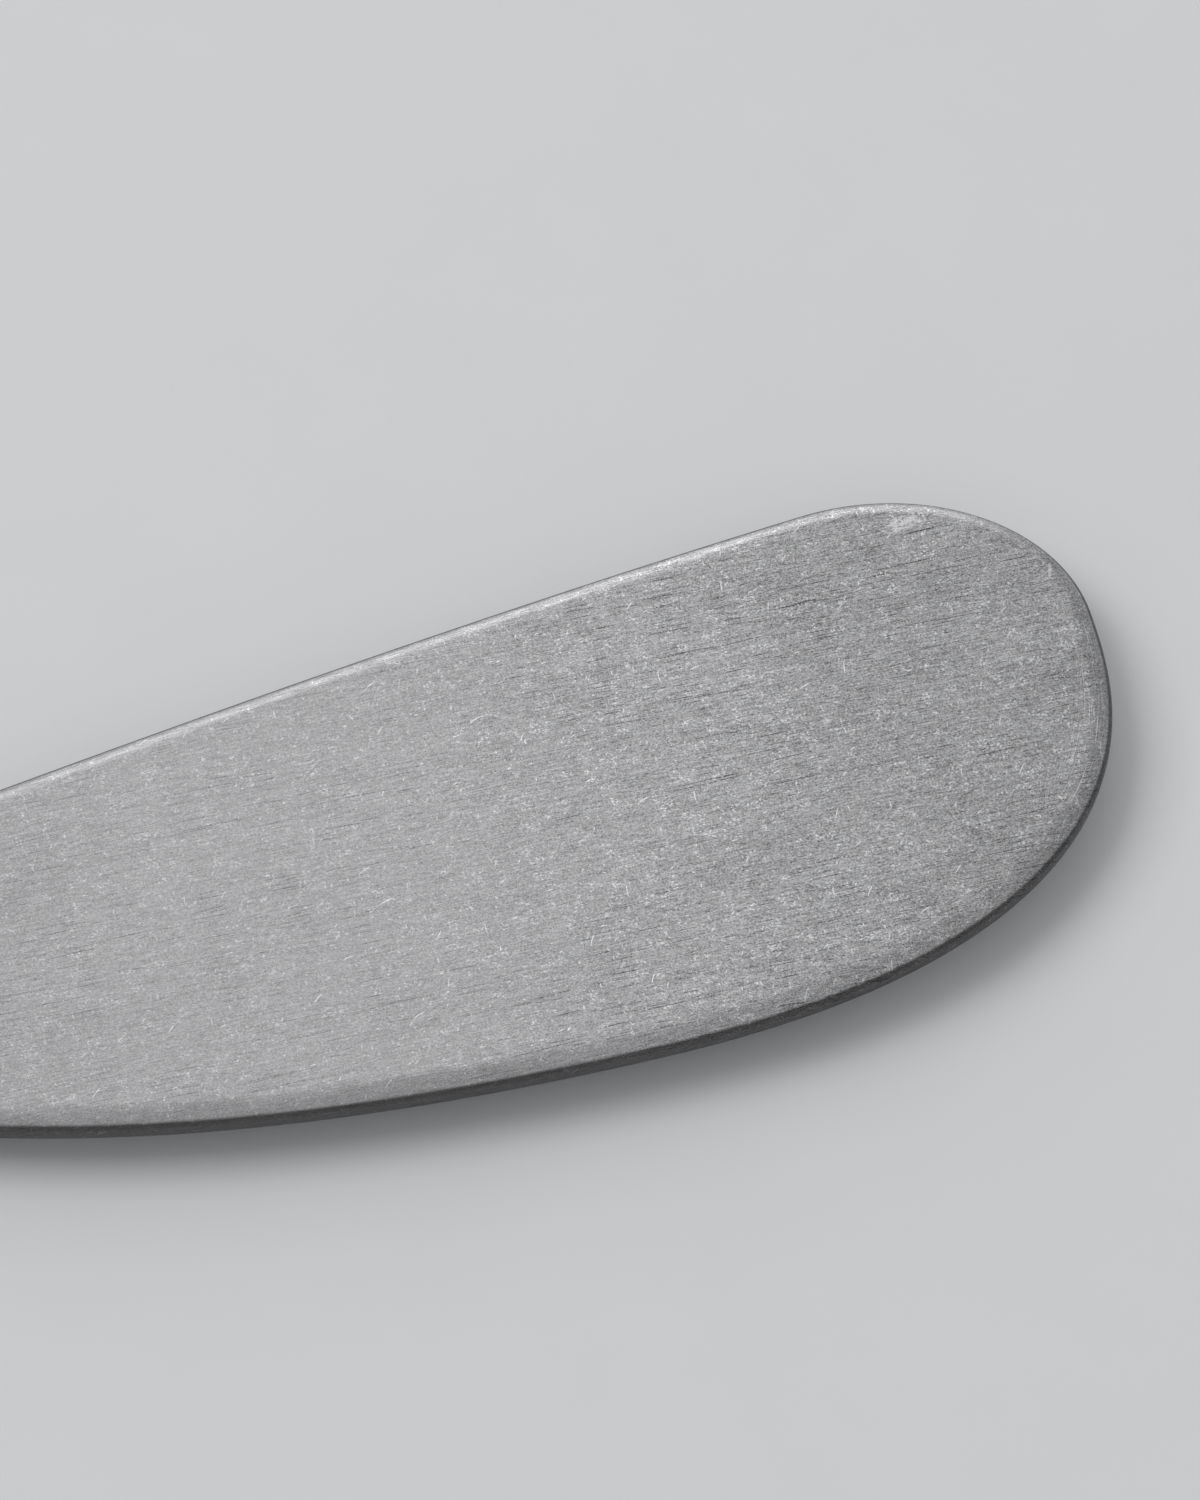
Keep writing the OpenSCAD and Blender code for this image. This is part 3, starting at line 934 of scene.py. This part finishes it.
def tumbled_steel(name, line_share, scratch_share, side_painted_shade, worn):
    """Stainless steel brushed along its length, then tumbled to a soft grey.

    The shade is one plus grain, brushed strokes, bright scratches and wear,
    less the dark lines left of the brushing. On the side of a plate it is made
    darker by a painted shade, which stands in for a dark reflection there.
    On the worn blade the patterns grow stronger towards the tip. The same
    patterns set roughness and bump.
    """
    material, tree, shader = new_material(name, 1.0, metal_roughness)
    skin = attribute_of(tree, "skin")
    rim = attribute_of(tree, "rim")
    patches = grain_of(tree, skin, patch_grain)

    patterns = {key: centred(tree, grain_of(tree, skin, size)) for key, size in steel_grains.items()}
    lines = math_of(tree, "MAXIMUM", *[placed(tree, scratches, skin, line) for line in brushing_lines])
    patterns["lines"] = times(tree, lines, ramp(tree, patches, line_patches))
    marked = [placed(tree, scratches, skin, scratch) for scratch in bright_scratches]
    patterns["bright"] = sum_of(tree, *[times(tree, *pair) for pair in zip(marked, bright_shares)])
    clusters = ramp(tree, grain_of(tree, skin, cluster_grain), cluster_step)
    dots = ramp(tree, grain_of(tree, skin, dot_grain), dot_step)
    patterns["speckle"] = times(tree, dots, clusters)
    patterns["nose_wear"] = wear_of(tree, rim, nose_wear)
    patterns["spine_wear"] = wear_of(tree, rim, spine_wear)
    # The side band: the mask for painted shade on the plate's side, and for its roughness
    patterns["side"] = ramp(tree, size_of(tree, axes_of(tree, rim)[2]), side_band)

    contrast = 1.0
    if worn:
        flecks = ramp(tree, grain_of(tree, skin, scuff_grain), scuff_step)
        patterns["scuff"] = times(tree, placed(tree, marks, skin, scuff_mark), flecks)
        patterns["groove"] = placed(tree, marks, skin, groove_mark)
        patterns["nick"] = placed(tree, marks, skin, nick_mark)
        contrast = ramp(tree, axes_of(tree, skin)[0], blade_contrast)

    shares = dict(shade_shares)
    shares["lines"] *= line_share
    for key in ("bright", "speckle", "spine_wear"):
        shares[key] *= scratch_share
    change = times(tree, blend(tree, patterns, shares), contrast)
    pattern = math_of(tree, "MAXIMUM", sum_of(tree, 1.0, change), least_shade)
    # Painted shade: the plate's side band is darkened, standing in for a dark reflection on it
    shade = times(tree, pattern, sum_of(tree, 1.0, times(tree, patterns["side"], -side_painted_shade)))

    spots = ramp(tree, grain_of(tree, skin, stain_grain), stain_step)
    stain = times(tree, spots, ramp(tree, patches, stain_patches), stain_strength)
    inputs = {"Factor": stain, "A": (*steel_tone, 1.0), "B": (*stain_tone, 1.0)}
    tint = put(tree, "ShaderNodeMix", inputs, data_type="RGBA")
    link_colour(tree, shader, tint.outputs["Result"], shade)
    roughness = sum_of(tree, steel_roughness, blend(tree, patterns, roughness_shares))
    tree.links.new(roughness, shader.inputs["Roughness"])
    link_bump(tree, shader, blend(tree, patterns, height_shares), steel_bump)
    return material


def ground_braze(name):
    """Pale braze ground flush: drawn out along the joint, with fine pits."""
    material, tree, shader = new_material(name, 1.0, metal_roughness)
    skin = attribute_of(tree, "skin")
    drawn = centred(tree, grain_of(tree, skin, drawn_grain))
    pits = ramp(tree, grain_of(tree, skin, braze_pit_grain), braze_pit_step)
    patterns = {"drawn": drawn, "pits": pits}
    link_colour(tree, shader, braze_tone, sum_of(tree, 1.0, blend(tree, patterns, braze_shade_shares)))
    roughness = sum_of(tree, braze_roughness, blend(tree, patterns, braze_roughness_shares))
    tree.links.new(roughness, shader.inputs["Roughness"])
    link_bump(tree, shader, pits, braze_bump)
    return material


def hard_cement(name):
    """Grey cutlery cement: sandy grain with pores, on Object coordinates."""
    material, tree, shader = new_material(name, 0.0, cement_roughness)
    place = object_place(tree)
    sand = centred(tree, grain_of(tree, place, sand_grain))
    pores = ramp(tree, grain_of(tree, place, cement_pore_grain), cement_pore_step)
    patterns = {"sand": sand, "pores": pores}
    link_colour(tree, shader, cement_tone, sum_of(tree, 1.0, blend(tree, patterns, cement_shade_shares)))
    link_bump(tree, shader, blend(tree, patterns, cement_height_shares), cement_bump)
    return material


def plain_floor(name):
    """A pale matt floor with a faint mottle."""
    material, tree, shader = new_material(name, 0.0, floor_roughness)
    mottle = centred(tree, grain_of(tree, object_place(tree), mottle_grain))
    shade = sum_of(tree, 1.0, blend(tree, {"mottle": mottle}, floor_shade_shares))
    link_colour(tree, shader, floor_tone, shade)
    return material


def add_floor():
    """A flat disc that the knife lies on, as rings of points round its middle, in metres."""
    turn = np.linspace(0, 2 * math.pi, floor_sides + 1)[:-1]
    reach = np.array(floor_ring_shares)[:, None] * floor_radius
    grid = np.dstack([reach * np.cos(turn), reach * np.sin(turn), reach * 0 * turn])
    points = grid.reshape(-1, 3)
    keep, quads, triangles = welded(points / mm, patch_faces(Patch(grid, grid, grid, (False, True)), 0))
    mesh = bpy.data.meshes.new("floor")
    mesh.from_pydata(points[keep].tolist(), [], quads.tolist() + triangles.tolist())
    mesh.materials.append(plain_floor("pale_floor"))
    floor = bpy.data.objects.new("floor", mesh)
    bpy.context.scene.collection.objects.link(floor)


def frame_matrix(axes, place):
    """A 4 by 4 matrix from three axes as columns and a place."""
    matrix = np.eye(4)
    matrix[:3, :3] = axes
    matrix[:3, 3] = place
    return Matrix(matrix.tolist())


def add_panel(name, target, way, distance, size, radiance):
    """A soft square panel of light, set off from a target along a way and turned to it.

    Its power is pi times its area times its radiance. Lengths are in metres.
    """
    lamp = bpy.data.lights.new(name, "AREA")
    lamp.shape = "SQUARE"
    lamp.size = size
    lamp.energy = math.pi * size * size * radiance
    panel = bpy.data.objects.new(name, lamp)
    bpy.context.scene.collection.objects.link(panel)
    back = np.array(way) / np.linalg.norm(way)
    side = np.cross([0, 0, 1], back)
    side /= np.linalg.norm(side)
    axes = np.stack([side, np.cross(back, side), back], 1)
    panel.matrix_world = frame_matrix(axes, target + back * distance)


def add_world(tone, strength):
    """Even light from all round."""
    world = bpy.data.worlds.new("studio")
    world.use_nodes = True
    background = world.node_tree.nodes["Background"]
    background.inputs["Color"].default_value = (*tone, 1)
    background.inputs["Strength"].default_value = strength
    bpy.context.scene.world = world


# Camera: its view fits the blade's outline in the photograph
view_turn = math.radians(21.33)
view_elevation = math.radians(60)
view_roll = math.radians(6.77)
view_distance = 276.4
view_target = np.array([63.28, 2.51, 3.0])
picture_w = 1200
picture_h = 1500
view_half_width = math.radians(5.3)
sensor_long = 36.0
near_clip = 0.01


def add_camera():
    """A camera that looks down and along the turn, rolled about its own axis.

    The lens is the focal length in pixels times the sensor over the long side.
    """
    level = np.array([math.sin(view_turn), math.cos(view_turn), 0])
    side = np.array([math.cos(view_turn), -math.sin(view_turn), 0])
    up = np.array([0, 0, 1])
    ahead = level * math.cos(view_elevation) - up * math.sin(view_elevation)
    top = up * math.cos(view_elevation) + level * math.sin(view_elevation)
    right = math.cos(view_roll) * side + math.sin(view_roll) * top
    above = math.cos(view_roll) * top - math.sin(view_roll) * side
    lens = bpy.data.cameras.new("camera")
    focal_pixels = picture_w / 2 / math.tan(view_half_width)
    lens.sensor_width = sensor_long
    lens.lens = focal_pixels * sensor_long / picture_h
    lens.clip_start = near_clip
    camera = bpy.data.objects.new("camera", lens)
    bpy.context.scene.collection.objects.link(camera)
    place = (view_target - ahead * view_distance) * mm
    camera.matrix_world = frame_matrix(np.stack([right, above, -ahead], 1), place)
    bpy.context.scene.camera = camera


add_camera()
bpy.context.scene.view_settings.view_transform = "Standard"

# The blade's side takes painted shade that stands in for a dark reflection; the handle's takes none
blade_finish = {"line_share": 1.0, "scratch_share": 1.0, "side_painted_shade": 0.75, "worn": True}
handle_finish = {"line_share": 0.8, "scratch_share": 0.9, "side_painted_shade": 0.0, "worn": False}
blade_steel = tumbled_steel("tumbled_blade_steel", **blade_finish)
handle_steel = tumbled_steel("tumbled_handle_steel", **handle_finish)
silver_braze = ground_braze("silver_braze")
cement = hard_cement("cutlery_cement")

add_piece("blade_plate", blade_patches(), "blade", blade_steel)
add_tang("blade_tang", "blade", blade_steel)
add_piece("bolster_collar", bolster_patches(), "bolster", handle_steel)
add_piece("handle_half_upper", shell_patches(False), "handle_shell_upper", handle_steel)
add_piece("handle_half_lower", shell_patches(True), "handle_shell_lower", handle_steel)
add_piece("seam_fillet", seam_braze_patches(), "seam_braze", silver_braze)
add_piece("collar_fillet", collar_braze_patches(), "collar_braze", silver_braze)

cement_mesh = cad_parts["tang_cement"].data
cement_mesh.materials.clear()
cement_mesh.materials.append(cement)

# Light: even from all round, and panels set off from two points of the blade, in metres
add_floor()
add_world(tone=(0.98, 0.99, 1.0), strength=0.36)
blade_middle = np.array([0.04, 0.0, 0.0025])
belly_spot = np.array([0.04, -0.011, 0.003])
add_panel("key_panel", blade_middle, way=(-0.55, 0.3, 0.78), distance=1.2, size=0.7, radiance=3.55)
add_panel("overhead_panel", belly_spot, way=(0.182, 0.466, 0.866), distance=0.28, size=0.07, radiance=0.74)
add_panel("broad_panel", blade_middle, way=(0.0, -0.3, 1.0), distance=0.6, size=1.0, radiance=0.11)
add_panel("back_panel", blade_middle, way=(0.25, 0.88, 0.36), distance=0.9, size=0.6, radiance=0.85)
add_panel("high_back_panel", blade_middle, way=(0.0, 0.8, 0.75), distance=0.9, size=0.45, radiance=0.4)
